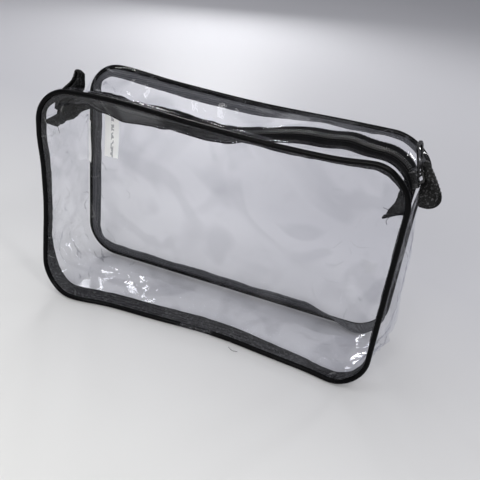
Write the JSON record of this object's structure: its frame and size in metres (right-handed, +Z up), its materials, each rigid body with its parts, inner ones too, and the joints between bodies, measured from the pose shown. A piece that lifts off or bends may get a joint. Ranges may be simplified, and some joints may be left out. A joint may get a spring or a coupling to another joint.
{
  "type": "makeup bag",
  "caption": "Clear vinyl makeup bag with black piped seams, a gusset, a zipped top, two webbing tabs and a slider with a pull.",
  "frame": {"origin": "middle of the flat base, on the surface that the bag stands on", "axes": "+Z up, +X towards the end where the zip closes, -Y is the front panel"},
  "size_m": [0.3, 0.076, 0.1852],
  "materials": {
    "clear_vinyl": "glossy clear soft vinyl",
    "joint_sleeve": "clear sleeve over black bead",
    "piping": "glossy extruded black vinyl",
    "binding": "woven black tape",
    "zip_tape": "woven black zip tape",
    "zip_coil": "black nylon coil",
    "slider_metal": "satin black enamel",
    "webbing": "coarse woven black webbing",
    "label_ribbon": "white woven ribbon"
  },
  "bodies": {
    "root": {"front_panel": "clear_vinyl", "rear_panel": "clear_vinyl", "base_gusset": "clear_vinyl", "front_top_strip_ends": "clear_vinyl", "rear_top_strip_ends": "clear_vinyl", "front_zip_tape_ends": "zip_tape", "rear_zip_tape_ends": "zip_tape", "front_zip_coil_ends": "zip_coil", "rear_zip_coil_ends": "zip_coil", "front_piping": "piping", "rear_piping": "piping", "front_piping_joint": "joint_sleeve", "rear_piping_joint": "joint_sleeve", "front_binding": "binding", "rear_binding": "binding", "left_end_binding": "binding", "right_end_binding": "binding", "care_label_side_leaf": "label_ribbon"},
    "front_flap": {"front_top_strip": "clear_vinyl", "front_zip_tape": "zip_tape", "front_zip_coil": "zip_coil"},
    "rear_flap": {"rear_top_strip": "clear_vinyl", "rear_zip_tape": "zip_tape", "rear_zip_coil": "zip_coil"},
    "slider": {"slider_body": "slider_metal"},
    "pull": {"slider_pull": "slider_metal"},
    "left_tab": {"left_tab": "webbing"},
    "right_tab": {"right_tab": "webbing"},
    "care_label": {"care_label": "label_ribbon"}
  },
  "joints": [
    {"name": "front_flap_lift", "type": "hinge", "parent": "root", "child": "front_flap", "pos_m": [0, -0.0337, 0.176], "axis": [1, 0, 0], "range_deg": [0, 95]},
    {"name": "rear_flap_lift", "type": "hinge", "parent": "root", "child": "rear_flap", "pos_m": [0, 0.0337, 0.176], "axis": [-1, 0, 0], "range_deg": [0, 95]},
    {"name": "slider_run", "type": "hinge", "parent": "root", "child": "slider", "pos_m": [0.109, 0, 0.148], "axis": [0, -1, 0], "range_deg": [0, 48]},
    {"name": "pull_swing", "type": "hinge", "parent": "slider", "child": "pull", "pos_m": [0.13592, 0, 0.1613], "axis": [0.3319, 0.9397, 0.0827], "range_deg": [0, 90]},
    {"name": "left_tab_bend", "type": "hinge", "parent": "root", "child": "left_tab", "pos_m": [-0.139, 0, 0.148], "axis": [0, -1, 0], "range_deg": [0, 110], "stiffness_Nm_per_rad": 0.01},
    {"name": "right_tab_bend", "type": "hinge", "parent": "root", "child": "right_tab", "pos_m": [0.139, 0, 0.148], "axis": [0, 1, 0], "range_deg": [0, 90], "stiffness_Nm_per_rad": 0.01},
    {"name": "care_label_lift", "type": "hinge", "parent": "root", "child": "care_label", "pos_m": [-0.1222, 0.0352, 0.116], "axis": [0, 0, -1], "range_deg": [0, 70], "stiffness_Nm_per_rad": 0.001}
  ]
}
